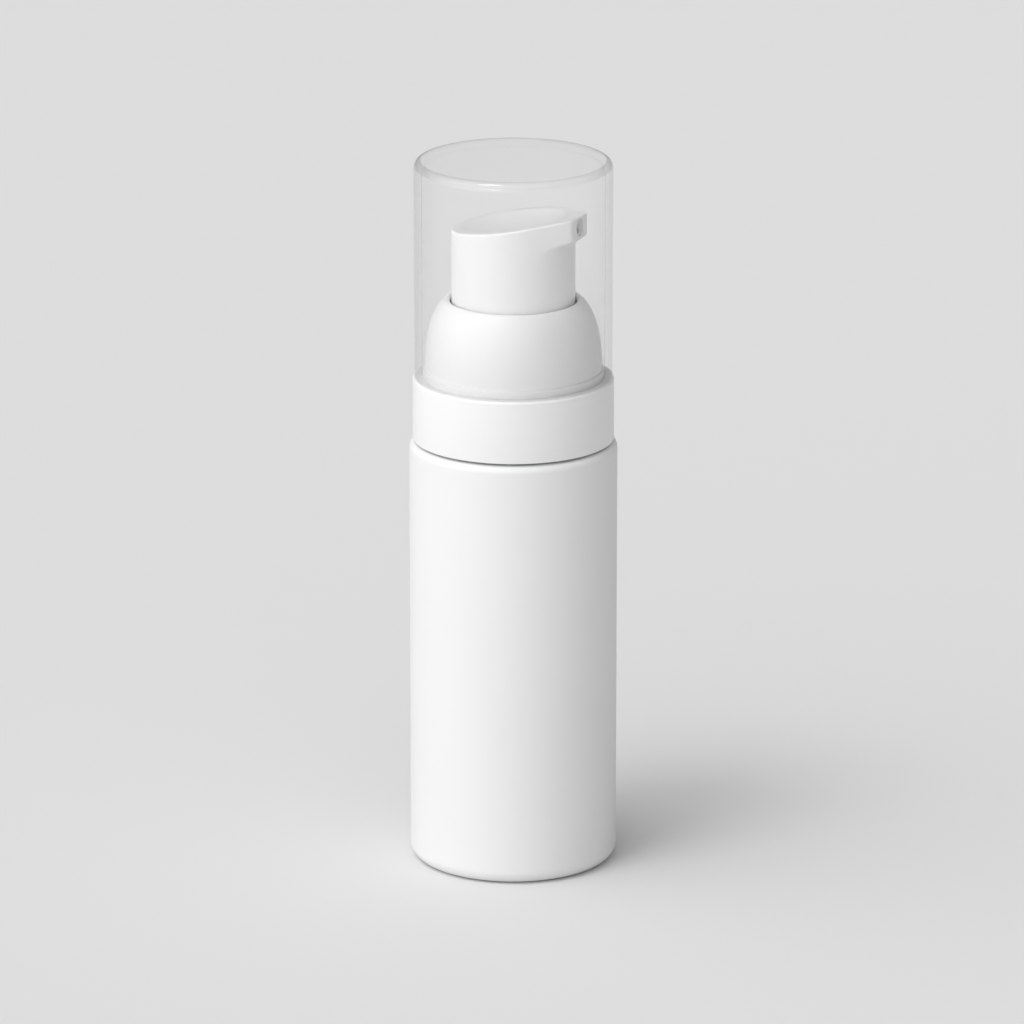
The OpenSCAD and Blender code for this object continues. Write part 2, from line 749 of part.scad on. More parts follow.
// Nozzle insert: pressed into the spout's mouth
module nozzle_insert() {
    duct_l = spout_reach / cos(duct_angle);
    color("whitesmoke")
    on_duct() translate([0, 0, duct_l - nozzle_inset - nozzle_l])
    difference() {
        cylinder(d = nozzle_d, h = nozzle_l);
        translate([0, 0, -1]) cylinder(d = nozzle_bore, h = nozzle_l + 2);
    }
}

outer_bottle();
inner_chamber();
follower_piston();
closure_nut();
collar_band();
shroud();
overcap();
neck_gasket();
pump_housing();
housing_cap();
stem_seal();
ball_cage();
inlet_ball();
return_spring();
stem();
stem_head();
valve_rod();
pump_piston();
actuator_head();
nozzle_insert();
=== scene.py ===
"""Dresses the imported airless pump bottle: smooth shells, a clear cap and a plain studio."""

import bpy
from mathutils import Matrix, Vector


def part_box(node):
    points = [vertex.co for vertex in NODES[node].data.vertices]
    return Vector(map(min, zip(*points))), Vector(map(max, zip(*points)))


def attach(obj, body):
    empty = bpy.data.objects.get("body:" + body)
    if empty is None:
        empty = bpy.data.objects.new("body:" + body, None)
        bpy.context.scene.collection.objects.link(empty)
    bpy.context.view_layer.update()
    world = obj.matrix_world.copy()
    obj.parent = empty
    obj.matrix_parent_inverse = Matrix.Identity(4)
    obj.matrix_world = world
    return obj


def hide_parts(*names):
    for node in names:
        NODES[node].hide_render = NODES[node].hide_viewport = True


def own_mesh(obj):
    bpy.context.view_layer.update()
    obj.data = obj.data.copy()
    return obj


bl_info = {
    "name": "Airless Pump Bottle",
    "version": (1, 0, 0),
    "blender": (4, 5, 0),
    "location": "View3D > Sidebar > Pump Bottle",
    "description": "Shells, finishes and studio for an airless pump bottle with a clear cap",
    "category": "Add Mesh",
}

import math

import bpy
import numpy as np
from bpy.props import FloatProperty, FloatVectorProperty, IntProperty, PointerProperty
from bpy.types import Operator, Panel, PropertyGroup

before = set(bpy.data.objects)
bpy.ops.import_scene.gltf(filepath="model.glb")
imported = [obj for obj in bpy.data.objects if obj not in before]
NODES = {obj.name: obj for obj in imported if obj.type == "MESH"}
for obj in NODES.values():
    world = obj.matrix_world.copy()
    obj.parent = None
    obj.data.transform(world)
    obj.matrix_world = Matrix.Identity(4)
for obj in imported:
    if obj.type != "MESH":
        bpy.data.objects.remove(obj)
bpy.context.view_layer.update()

MM = 0.001
EDGE_SHADE_AND_COAT_MARK = "edge_shade_and_coat_mark"
TOP_SHADE_MARK = "top_shade_mark"
SHARP_ANGLE = math.radians(32)
PLASTIC_IOR = 1.49


def low(node):
    """Lowest corner of a CAD node."""
    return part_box(node)[0]


def high(node):
    """Highest corner of a CAD node."""
    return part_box(node)[1]


# Sizes and colours that a user would change


class BottleSizes(PropertyGroup):
    """Radii and heights of the shells, in metres, taken from the frame where it knows them."""

    body_radius: FloatProperty(
        name="Body Radius", description="Outside radius of the bottle", subtype="DISTANCE",
        unit="LENGTH", precision=5, default=high("outer_bottle").x)
    shoulder_z: FloatProperty(
        name="Shoulder Height", description="Top of the bottle's shoulder", subtype="DISTANCE",
        unit="LENGTH", precision=5, default=high("outer_bottle").z)
    foot_fillet: FloatProperty(
        name="Foot Rounding", description="Rounding of the foot's edge", subtype="DISTANCE",
        unit="LENGTH", precision=5, default=2.3 * MM)
    shoulder_fillet: FloatProperty(
        name="Shoulder Rounding", description="Rounding of the shoulder's edge",
        subtype="DISTANCE", unit="LENGTH", precision=5, default=1.3 * MM)
    collar_radius: FloatProperty(
        name="Collar Radius", description="Outside radius of the collar band",
        subtype="DISTANCE", unit="LENGTH", precision=5, default=high("collar_band").x)
    bell_curve: FloatProperty(
        name="Bell Curve", description="Width over which the bell curves in", subtype="DISTANCE",
        unit="LENGTH", precision=5, default=5.0 * MM)
    shroud_wall: FloatProperty(
        name="Shroud Wall", description="Wall of the bell", subtype="DISTANCE", unit="LENGTH",
        precision=5, default=1.1 * MM)
    cap_radius: FloatProperty(
        name="Cap Radius", description="Outside radius of the clear cap", subtype="DISTANCE",
        unit="LENGTH", precision=5, default=high("overcap").x)
    cap_wall: FloatProperty(
        name="Cap Wall", description="Wall of the clear cap", subtype="DISTANCE", unit="LENGTH",
        precision=5, default=1.3 * MM)
    cap_fillet: FloatProperty(
        name="Cap Rounding", description="Outside rounding of the cap's top edge",
        subtype="DISTANCE", unit="LENGTH", precision=5, default=1.2 * MM)
    segments: IntProperty(
        name="Segments", description="Steps round each turned shell", default=192, min=48,
        max=512)


class HeadSizes(PropertyGroup):
    """Sizes of the pump head, in metres and radians."""

    radius: FloatProperty(
        name="Radius", description="Radius of the head's cylinder", subtype="DISTANCE",
        unit="LENGTH", precision=5, default=10.35 * MM)
    wall: FloatProperty(
        name="Wall", description="Wall of the head", subtype="DISTANCE", unit="LENGTH",
        precision=5, default=1.3 * MM)
    rim_z: FloatProperty(
        name="Rim Height", description="Height of the rim's plane at the axis",
        subtype="DISTANCE", unit="LENGTH", precision=5, default=111.25 * MM)
    slope: FloatProperty(
        name="Slope", description="Slope of the rim's plane, rising to the spout",
        subtype="ANGLE", default=math.radians(9.0))
    dish_radius: FloatProperty(
        name="Dish Radius", description="Radius of the finger dish", subtype="DISTANCE",
        unit="LENGTH", precision=5, default=8.7 * MM)
    dish_depth: FloatProperty(
        name="Dish Depth", description="Depth of the finger dish", subtype="DISTANCE",
        unit="LENGTH", precision=5, default=1.1 * MM)
    reach: FloatProperty(
        name="Spout Reach", description="Distance of the spout's tip from the axis",
        subtype="DISTANCE", unit="LENGTH", precision=5, default=12.1 * MM)
    tip_width: FloatProperty(
        name="Tip Width", description="Width of the spout's tip", subtype="DISTANCE",
        unit="LENGTH", precision=5, default=7.6 * MM)
    tip_round: FloatProperty(
        name="Tip Rounding", description="Rounding of the tip's corners", subtype="DISTANCE",
        unit="LENGTH", precision=5, default=1.2 * MM)
    flare_z: FloatProperty(
        name="Flare Height", description="Height at which the spout starts to flare out",
        subtype="DISTANCE", unit="LENGTH", precision=5, default=107.6 * MM)
    flare_height: FloatProperty(
        name="Flare Rise", description="Height over which the spout flares out",
        subtype="DISTANCE", unit="LENGTH", precision=5, default=2.0 * MM)
    under_slope: FloatProperty(
        name="Underside Slope", description="Rise of the spout's underside towards the tip",
        subtype="ANGLE", default=math.radians(14.0))
    rim_round: FloatProperty(
        name="Rim Rounding", description="Rounding of the rim", subtype="DISTANCE",
        unit="LENGTH", precision=5, default=0.35 * MM)
    mouth_radius: FloatProperty(
        name="Mouth Radius", description="Radius of the hole that holds the nozzle",
        subtype="DISTANCE", unit="LENGTH", precision=5, default=1.43 * MM)


class Finish(PropertyGroup):
    """Colours of the finishes."""

    body_colour: FloatVectorProperty(
        name="Body", description="Colour of the matte bottle", subtype="COLOR", size=3, min=0,
        max=1, default=(0.765, 0.765, 0.765))
    pump_colour: FloatVectorProperty(
        name="Pump", description="Colour of the satin pump parts", subtype="COLOR", size=3,
        min=0, max=1, default=(0.8, 0.8, 0.8))
    natural_colour: FloatVectorProperty(
        name="Natural Plastic", description="Colour of undyed inner parts", subtype="COLOR",
        size=3, min=0, max=1, default=(0.76, 0.77, 0.78))
    floor_colour: FloatVectorProperty(
        name="Floor", description="Colour of the studio floor", subtype="COLOR", size=3, min=0,
        max=1, default=(0.695, 0.695, 0.695))


class Studio(PropertyGroup):
    """Camera and light of the studio."""

    camera_azimuth: FloatProperty(
        name="Camera Azimuth", description="Turn of the camera round the axis, from -Y to +X",
        subtype="ANGLE", default=math.radians(24.0))
    camera_elevation: FloatProperty(
        name="Camera Elevation", description="Height of the camera above the level",
        subtype="ANGLE", default=math.radians(16.61))
    camera_distance: FloatProperty(
        name="Camera Distance", description="Distance of the camera from its target",
        subtype="DISTANCE", unit="LENGTH", default=1.2)
    target_z: FloatProperty(
        name="Target Height", description="Height of the point that the camera looks at",
        subtype="DISTANCE", unit="LENGTH", default=60.55 * MM)
    lens: FloatProperty(
        name="Lens", description="Focal length on a 36 mm sensor", default=250.2, min=10)
    key_power: FloatProperty(
        name="Key Light", description="Strength of the small sun inside the large soft light",
        default=0.6)
    key_height: FloatProperty(
        name="Key Height", description="Height of the small sun above the level",
        subtype="ANGLE", default=math.radians(64.0))
    glow: FloatProperty(
        name="Soft Light", description="Strength of the large soft light at the left",
        default=1.84)
    glow_turn: FloatProperty(
        name="Soft Light Turn", description="Turn of the soft light from the camera, to its left",
        subtype="ANGLE", default=math.radians(50.0))
    glow_height: FloatProperty(
        name="Soft Light Height", description="Height of the soft light above the level",
        subtype="ANGLE", default=math.radians(30.0))
    back_glow: FloatProperty(
        name="Back Light", description="Strength of the soft light behind the bottle",
        default=0.15)
    ambient: FloatProperty(
        name="Ambient", description="Strength of the even light from all sides", default=0.32)


# Meshes


def make_object(name, points, faces, smooth=True):
    """Mesh object from an array of points and arrays of triangles and quads."""
    mesh = bpy.data.meshes.new(name)
    mesh.from_pydata(points.tolist(), [], [f for block in faces for f in block.tolist()])
    mesh.polygons.foreach_set("use_smooth", np.full(len(mesh.polygons), smooth))
    if smooth:
        mesh.set_sharp_from_angle(angle=SHARP_ANGLE)
    mesh.validate()
    mesh.update()
    obj = bpy.data.objects.new(name, mesh)
    bpy.context.scene.collection.objects.link(obj)
    return obj


def grid_faces(rows, columns):
    """Quads of a grid of rows by columns that closes on itself round the columns.
    Row i, column j joins row i + 1 and column j + 1, the last column joining the first."""
    i = np.arange(rows - 1)[:, None] * columns
    j = np.arange(columns)[None, :]
    k = (j + 1) % columns
    return np.stack([i + j, i + k, i + columns + k, i + columns + j], -1).reshape(-1, 4)


def fan_faces(centre, first, columns, flip):
    """Triangles from the point centre to the ring of points that starts at first. A flip turns
    them to face the other way."""
    j = np.arange(columns)
    k = (j + 1) % columns
    ring = (first + k, first + j) if flip else (first + j, first + k)
    return np.stack([np.full(columns, centre), *ring], -1)


def rounded(corners, steps=8):
    """Outline through corners of (radius, height, rounding): each rounding is an arc tangent to
    the two straight sides, its centre on the corner's bisector, drawn in equal angle steps."""
    corners = np.array(corners, float)
    count = len(corners)
    out = []
    for n in range(count):
        here, fillet = corners[n, :2], corners[n, 2]
        if fillet <= 0 or n in (0, count - 1):
            out.append(here[None])
            continue
        back = corners[n - 1, :2] - here
        ahead = corners[n + 1, :2] - here
        back /= np.linalg.norm(back)
        ahead /= np.linalg.norm(ahead)
        half = math.acos(np.clip(back @ ahead, -1, 1)) / 2
        bisector = (back + ahead) / np.linalg.norm(back + ahead)
        centre = here + bisector * fillet / math.sin(half)
        first = here + back * fillet / math.tan(half) - centre
        last = here + ahead * fillet / math.tan(half) - centre
        turn = math.atan2(first[0] * last[1] - first[1] * last[0], first @ last)
        t = np.linspace(0, turn, steps + 1)
        c, s = np.cos(t), np.sin(t)
        out.append(centre + np.stack(
            [first[0] * c - first[1] * s, first[0] * s + first[1] * c], -1))
    return np.concatenate(out)


def turned(name, outline, segments):
    """Solid of revolution. The outline runs from the axis to the axis, or closes on itself, and
    goes anticlockwise in the plane of radius and height, so that faces point outwards.
    Point (i, j) is radius_i times (cos, sin) of angle_j, at height_i."""
    on_axis = outline[0, 0] < 1e-9 and outline[-1, 0] < 1e-9
    ring = outline[1:-1] if on_axis else np.concatenate([outline, outline[:1]])
    angle = np.arange(segments) * 2 * math.pi / segments
    points = np.stack([
        ring[:, :1] * np.cos(angle), ring[:, :1] * np.sin(angle),
        np.repeat(ring[:, 1:], segments, 1)], -1)
    if on_axis:
        rows = len(ring)
        points = points.reshape(-1, 3)
        ends = np.array([[0, 0, outline[0, 1]], [0, 0, outline[-1, 1]]])
        faces = [
            grid_faces(rows, segments),
            fan_faces(len(points), 0, segments, True),
            fan_faces(len(points) + 1, (rows - 1) * segments, segments, False)]
        return make_object(name, np.concatenate([points, ends]), faces)
    rows = len(ring) - 1
    points = points[:-1].reshape(-1, 3)
    faces = grid_faces(rows + 1, segments) % (rows * segments)
    return make_object(name, points, [faces])


def places(piece):
    """Array of a piece's points."""
    where = np.empty(len(piece.data.vertices) * 3)
    piece.data.vertices.foreach_get("co", where)
    return where.reshape(-1, 3)


def shell_of(piece, body, slot, material, *nodes):
    """Gives the piece its finish, rides it on its body and lets it stand for its CAD nodes."""
    piece.data.materials.clear()
    piece.data.materials.append(material)
    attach(piece, body)
    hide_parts(*nodes)


# Finishes


def new_material(name):
    """A material with its node tree, its Principled shader and its object coordinates."""
    material = bpy.data.materials.new(name)
    material.use_nodes = True
    tree = material.node_tree
    shader = tree.nodes["Principled BSDF"]
    place = tree.nodes.new("ShaderNodeTexCoord")
    return material, tree, shader, place.outputs["Object"]


def add_noise(tree, where, scale, detail, roughness=0.5):
    """A noise texture's value in object space. Scale is in cells a metre."""
    noise = tree.nodes.new("ShaderNodeTexNoise")
    noise.inputs["Scale"].default_value = scale
    noise.inputs["Detail"].default_value = detail
    noise.inputs["Roughness"].default_value = roughness
    tree.links.new(where, noise.inputs["Vector"])
    return noise.outputs["Fac"]


def ramp(tree, value, low_end, high_end, socket):
    """Maps a noise value, from 0.3 to 0.7, to a range of numbers on a socket."""
    node = tree.nodes.new("ShaderNodeMapRange")
    node.inputs["From Min"].default_value = 0.3
    node.inputs["From Max"].default_value = 0.7
    node.inputs["To Min"].default_value = low_end
    node.inputs["To Max"].default_value = high_end
    tree.links.new(value, node.inputs["Value"])
    tree.links.new(node.outputs["Result"], socket)


def calculate(tree, operation, first, second=0):
    """A math node's result. Each operand is a number or a socket, and some need only one."""
    node = tree.nodes.new("ShaderNodeMath")
    node.operation = operation
    for value, socket in zip((first, second), node.inputs):
        if isinstance(value, (int, float)):
            socket.default_value = value
        else:
            tree.links.new(value, socket)
    return node.outputs[0]


def mix_colours(tree, share, first, second, blend="MIX"):
    """Blends two colours by the share on a socket. The first is a colour or a socket."""
    mix = tree.nodes.new("ShaderNodeMix")
    mix.data_type = "RGBA"
    mix.blend_type = blend
    factor, colour_a, colour_b = mix.inputs[0], mix.inputs[6], mix.inputs[7]
    if isinstance(first, tuple):
        colour_a.default_value = (*first, 1)
    else:
        tree.links.new(first, colour_a)
    colour_b.default_value = (*second, 1)
    tree.links.new(share, factor)
    return mix.outputs[2]


def tint(tree, value, colour, spread, socket):
    """Varies a colour's lightness by a small share with a noise value."""
    darker = tuple(c * (1 - spread) for c in colour)
    lighter = tuple(min(1, c * (1 + spread)) for c in colour)
    tree.links.new(mix_colours(tree, value, darker, lighter), socket)


def add_bump(tree, value, shader, distance):
    """A bump of a given depth in metres."""
    bump = tree.nodes.new("ShaderNodeBump")
    bump.inputs["Strength"].default_value = 1
    bump.inputs["Distance"].default_value = distance
    tree.links.new(value, bump.inputs["Height"])
    tree.links.new(bump.outputs["Normal"], shader.inputs["Normal"])


def plastic(name, colour, rough, grain_scale, grain_depth, spread=0.01, gloss=0.5):
    """Moulded plastic: a base colour that varies faintly over centimetres, a roughness that
    varies with it, and a fine surface grain of a given scale and depth."""
    material, tree, shader, where = new_material(name)
    cloud = add_noise(tree, where, 60, 2)
    grain = add_noise(tree, where, grain_scale, 4, 0.6)
    rough_spread = 0.04
    tint(tree, cloud, colour, spread, shader.inputs["Base Color"])
    ramp(tree, grain, rough - rough_spread, rough + rough_spread, shader.inputs["Roughness"])
    add_bump(tree, grain, shader, grain_depth)
    shader.inputs["IOR"].default_value = PLASTIC_IOR
    shader.inputs["Specular IOR Level"].default_value = gloss
    return material


def paint_shade(material, mark_name, share):
    """Multiplies a plastic's base colour by a share where its piece's mark is 1. This is painted
    shade: it makes the marked face look less lit than the scene's lights make it."""
    tree = material.node_tree
    colour = tree.nodes["Principled BSDF"].inputs["Base Color"]
    mark = tree.nodes.new("ShaderNodeAttribute")
    mark.attribute_name = mark_name
    shaded_colour = mix_colours(tree, mark.outputs["Fac"], colour.links[0].from_socket,
                         (share, share, share), "MULTIPLY")
    tree.links.new(shaded_colour, colour)


def clear_plastic():
    """Clear polished plastic in thin walls, which bend sight very little. Its outer faces and
    its rounded edges mirror the lights. Its base colour is darkened where it is seen edge on,
    a painted shade standing in for the dark edges that a clear wall gets by bending and
    mirroring its surroundings: the mark that the cap's points carry times the square of the
    facing weight. A mark below zero is a rounded edge that gets no painted shade."""
    material, tree, shader, where = new_material("clear_cap_plastic")
    shader.inputs["Transmission Weight"].default_value = 0.985
    shader.inputs["IOR"].default_value = 1.004
    shader.inputs["Coat IOR"].default_value = 1.58
    shader.inputs["Coat Roughness"].default_value = 0.02
    haze = add_noise(tree, where, 900, 3)
    ramp(tree, haze, 0.0, 0.02, shader.inputs["Roughness"])
    mark = tree.nodes.new("ShaderNodeAttribute")
    mark.attribute_name = EDGE_SHADE_AND_COAT_MARK
    side = tree.nodes.new("ShaderNodeNewGeometry")
    outside = calculate(tree, "SUBTRACT", 1, side.outputs["Backfacing"])
    on_faces = calculate(tree, "MULTIPLY", outside, 0.6)
    size_of_mark = calculate(tree, "ABSOLUTE", mark.outputs["Fac"])
    on_edges = calculate(tree, "GREATER_THAN", size_of_mark, 0.55)
    tree.links.new(calculate(tree, "MAXIMUM", on_faces, on_edges),
                   shader.inputs["Coat Weight"])
    layer = tree.nodes.new("ShaderNodeLayerWeight")
    layer.inputs["Blend"].default_value = 0.5
    # Painted shade: the base colour goes towards dark grey where the cap is seen edge on
    edge = calculate(tree, "MULTIPLY", calculate(tree, "MAXIMUM", mark.outputs["Fac"]),
                     calculate(tree, "POWER", layer.outputs["Facing"], 2))
    clear, edge_shade_colour = (1, 1, 1), (0.16, 0.17, 0.17)
    tree.links.new(mix_colours(tree, edge, clear, edge_shade_colour), shader.inputs["Base Color"])
    return material


def steel():
    """Plain stainless steel with fine drawn marks."""
    material, tree, shader, where = new_material("plain_steel")
    shader.inputs["Metallic"].default_value = 1
    cloud = add_noise(tree, where, 400, 2)
    grain = add_noise(tree, where, 9000, 3)
    tint(tree, cloud, (0.62, 0.63, 0.64), 0.05, shader.inputs["Base Color"])
    ramp(tree, grain, 0.2, 0.32, shader.inputs["Roughness"])
    add_bump(tree, grain, shader, 4e-6)
    return material


# Operators


class PUMPBOTTLE_OT_bottle(Operator):
    """Add the matte outer bottle, with its closed foot, air hole and seat for the chamber"""

    bl_idname = "pumpbottle.bottle"
    bl_label = "Outer Bottle"

    def execute(self, context):
        size = context.scene.pumpbottle_sizes
        colour = context.scene.pumpbottle_finish
        r, top = size.body_radius, size.shoulder_z
        bore = r - 2 * MM
        seat = bore + 0.5 * MM
        land = r - size.foot_fillet - 2 * MM
        vent = 1 * MM
        floor = 2.4 * MM
        recess = 0.8 * MM
        outline = rounded([
            (vent, floor, 0), (vent, recess, 0.15 * MM), (land - recess, recess, 0.5 * MM),
            (land, 0, 0.3 * MM), (r, 0, size.foot_fillet), (r, top, size.shoulder_fillet),
            (seat, top, 0.1 * MM), (seat, top - 1 * MM, 0), (bore, top - 1 * MM, 0),
            (bore, floor, 0.4 * MM), (vent, floor, 0)], 10)[:-1]
        piece = turned("bottle_shell", outline, size.segments)
        finish = plastic("matte_white_bottle", colour.body_colour, 0.48, 5200, 9e-6, 0.01, 0.55)
        shell_of(piece, "bottle", "bottle", finish, "outer_bottle")
        return {"FINISHED"}


class PUMPBOTTLE_OT_collar(Operator):
    """Add the satin collar band round the closure"""

    bl_idname = "pumpbottle.collar"
    bl_label = "Collar Band"

    def execute(self, context):
        size = context.scene.pumpbottle_sizes
        bottom, top = low("collar_band").z, high("collar_band").z
        r = size.collar_radius
        bore = r - 1.47 * MM
        lip = 14.05 * MM
        outline = rounded([
            (lip, top, 0), (lip, top - 1.35 * MM, 0), (bore, top - 1.35 * MM, 0),
            (bore, bottom, 0.1 * MM), (r, bottom, 0.18 * MM),
            (r - 0.06 * MM, top, 0.5 * MM), (lip, top, 0)], 8)[:-1]
        piece = turned("collar_sleeve", outline, size.segments)
        shell_of(piece, "closure", "collar", satin(context), "collar_band")
        return {"FINISHED"}


class PUMPBOTTLE_OT_shroud(Operator):
    """Add the bell that hides the pump, with the ring that centres the cap"""

    bl_idname = "pumpbottle.shroud"
    bl_label = "Bell Shroud"

    def execute(self, context):
        size = context.scene.pumpbottle_sizes
        bottom, top = low("shroud").z, high("shroud").z
        ring = high("shroud").x
        half = size.shroud_wall / 2
        bell = ring - 0.35 * MM
        mouth = 10.6 * MM
        bore = 14.15 * MM
        ring_top = bottom + 1.45 * MM
        curve_z = ring_top + 1.1 * MM
        step = bottom + 1.15 * MM
        # The wall's middle is an oval, radius = mid + a cos t and height = curve_z + b sin t,
        # and its two faces lie half a wall to each side along the oval's normal
        mid = bell - size.bell_curve
        a = size.bell_curve - half
        end = math.acos((mouth + half - mid) / a)
        b = (top - half - curve_z) / math.sin(end)

        def face(t, side):
            normal = np.stack([np.cos(t) / a, np.sin(t) / b], -1)
            normal /= np.linalg.norm(normal, axis=1, keepdims=True)
            return np.stack([mid + a * np.cos(t), curve_z + b * np.sin(t)], -1) + side * normal

        outer = face(np.linspace(0, end, 48), half)
        inner = face(np.linspace(end, 0, 32), -half)
        lip_centre = (outer[-1] + inner[0]) / 2
        start = outer[-1] - lip_centre
        first = math.atan2(start[1], start[0])
        t = np.linspace(first, first + math.pi, 14)[1:-1]
        lip = lip_centre + half * np.stack([np.cos(t), np.sin(t)], -1)
        base = rounded([
            (bore, step, 0), (bore, bottom, 0.08 * MM), (ring, bottom, 0.12 * MM),
            (ring, ring_top, 0.3 * MM), (bell + 0.02 * MM, ring_top, 0.18 * MM),
            (bell, curve_z - 0.3 * MM, 0)], 8)
        under = np.array([[bell - 2 * half, step], [bore, step]])
        outline = np.concatenate([base, outer, lip, inner, under[:1]])
        piece = turned("bell_shell", outline, size.segments)
        shell_of(piece, "closure", "shroud", satin(context), "shroud")
        return {"FINISHED"}


class PUMPBOTTLE_OT_head(Operator):
    """Add the pump head: a cylinder that flares into a spout, with a sloping, dished top"""

    bl_idname = "pumpbottle.head"
    bl_label = "Pump Head"

    foot_edge = 0.12 * MM
    under_length = 9 * MM
    nozzle_pitch = math.radians(22.48)

    def execute(self, context):
        size = context.scene.pumpbottle_head
        outer, angle = self.rings(size)
        columns = len(angle)
        base = low("actuator_head").z
        inner = self.inside(size, base)
        hole_top = inner[-1, 1]
        inner = np.stack([
            inner[:, :1] * np.cos(angle), inner[:, :1] * np.sin(angle),
            np.repeat(inner[:, 1:], columns, 1)], -1)
        grid = np.concatenate([outer, inner])
        rows = len(grid)
        crown = outer[0].mean(0)
        crown[:2] = 0
        crown[2] = self.top_height(size, np.zeros(1), np.zeros(1))[0]
        points = np.concatenate([grid.reshape(-1, 3), [crown, [0, 0, hole_top]]])
        faces = [
            grid_faces(rows, columns)[:, ::-1],
            fan_faces(rows * columns, 0, columns, False),
            fan_faces(rows * columns + 1, (rows - 1) * columns, columns, True)]
        piece = make_object("pump_head", points, faces)
        self.bore_mouth(piece, size)
        self.mark_shaded_top(piece, size)
        finish = satin(context).copy()
        finish.name = "satin_white_head"
        # Painted shade: the sloping top gets 0.84 of the satin's colour, so that it reads less
        # lit than the sides
        paint_shade(finish, TOP_SHADE_MARK, 0.84)
        shell_of(piece, "head", "head", finish, "actuator_head")
        return {"FINISHED"}

    def inside(self, size, base):
        """Outline of the hollow under the head, from the skirt's foot to the axis: the skirt's
        bore, the flat roof, the socket that hangs from it, its bore and the product's hole."""
        bore = size.radius - size.wall
        edge = self.foot_edge
        roof = base + 12.25 * MM
        socket, socket_foot = 3.95 * MM, base + 3.2 * MM
        socket_bore, socket_top = 2.75 * MM, base + 9.1 * MM
        hole, hole_top = 1.1 * MM, base + 11 * MM
        return np.array([
            (size.radius - edge, base), (bore + edge, base), (bore, base + edge), (bore, roof),
            (socket, roof), (socket, socket_foot), (socket_bore, socket_foot),
            (socket_bore, socket_top), (hole, socket_top), (hole, hole_top)])

    def mark_shaded_top(self, piece, size):
        """Marks the points of the sloping top, where the finger rests, with 1, for its painted
        shade.
        """
        where = places(piece)
        top = self.top_height(size, where[:, 0], where[:, 1])
        value = (np.abs(where[:, 2] - top) < 0.02 * MM).astype(float)
        mark = piece.data.attributes.new(TOP_SHADE_MARK, "FLOAT", "POINT")
        mark.data.foreach_set("value", value)

    @staticmethod
    def top_height(size, x, y):
        """Height of the top: the sloping plane, less a spherical cap of the dish's depth.
        The dish fades out at its edge over a short band, so that its rim is soft."""
        plane = size.rim_z + x * math.tan(size.slope)
        ball = (size.dish_radius ** 2 + size.dish_depth ** 2) / (2 * size.dish_depth)
        r = np.hypot(x, y)
        cap = np.sqrt(np.maximum(ball ** 2 - r ** 2, 0)) - (ball - size.dish_depth)
        soft = 0.05 * MM
        return plane - (cap + np.sqrt(cap ** 2 + soft ** 2)) / 2

    @staticmethod
    def plan(size):
        """Outline of the head seen from above, as points and as their distance from the axis:
        the circle, two lines tangent to it, and the tip with its round corners."""
        c = np.array([size.reach - size.tip_round, size.tip_width / 2 - size.tip_round])
        gap = np.linalg.norm(c)
        side = math.acos((size.radius - size.tip_round) / gap) + math.atan2(c[1], c[0])
        tip = np.stack([np.full(9, size.reach), np.linspace(0, c[1], 9)], -1)[:-1]
        t = np.linspace(0, side, 14)
        corner = c + size.tip_round * np.stack([np.cos(t), np.sin(t)], -1)
        start = size.radius * np.array([math.cos(side), math.sin(side)])
        u = np.linspace(0, 1, 26)[1:-1, None]
        line = corner[-1] + u * (start - corner[-1])
        t = np.linspace(side, math.pi, 72)
        circle = size.radius * np.stack([np.cos(t), np.sin(t)], -1)
        half = np.concatenate([tip, corner, line, circle])
        mirror = half[-2:0:-1] * [1, -1]
        return np.concatenate([half, mirror])

    def rings(self, size):
        """Rings of points from the middle of the top out to the rim and down the outside.
        On the top, ring points are a share of the plan's points. Down the side, the radius is
        R + (T - R) s, where T is the plan's, R the cylinder's, and s a smooth step in height,
        whose foot falls from the tip back to the cylinder by the underside's slope."""
        plan = self.plan(size)
        angle = np.arctan2(plan[:, 1], plan[:, 0])
        reach = np.hypot(plan[:, 0], plan[:, 1])
        slope = math.tan(size.slope)
        fillet = size.rim_round
        share = np.concatenate([np.linspace(0.04, 0.76, 16), np.linspace(0.78, 0.97, 24)])
        rings = []
        inset = (reach - fillet) / reach
        for s in share:
            xy = plan * (s * inset)[:, None]
            rings.append(np.column_stack([xy, self.top_height(size, xy[:, 0], xy[:, 1])]))
        for t in np.linspace(0, math.pi / 2, 8):
            out = (reach - fillet + fillet * math.sin(t)) / reach
            xy = plan * out[:, None]
            drop = fillet * (1 - math.cos(t))
            rings.append(np.column_stack([xy, size.rim_z + xy[:, 0] * slope - drop]))
        rim = rings[-1][:, 2]
        base = low("actuator_head").z
        back = np.minimum(size.reach - plan[:, 0], self.under_length)
        foot = size.flare_z - back * math.tan(size.under_slope)
        for u in np.linspace(0, 1, 8)[1:]:
            z = rim * (1 - u) + (foot + size.flare_height) * u
            rings.append(np.column_stack([plan, z]))
        for s in np.linspace(1, 0, 40)[1:]:
            smooth = s * s * (3 - 2 * s)
            r = size.radius + (reach - size.radius) * smooth
            rings.append(np.column_stack([r * np.cos(angle), r * np.sin(angle),
                                          foot + size.flare_height * s]))
        for u in np.linspace(0, 1, 8)[1:]:
            rings.append(np.column_stack([size.radius * np.cos(angle),
                                          size.radius * np.sin(angle),
                                          foot * (1 - u) + (base + self.foot_edge) * u]))
        return np.array(rings), angle

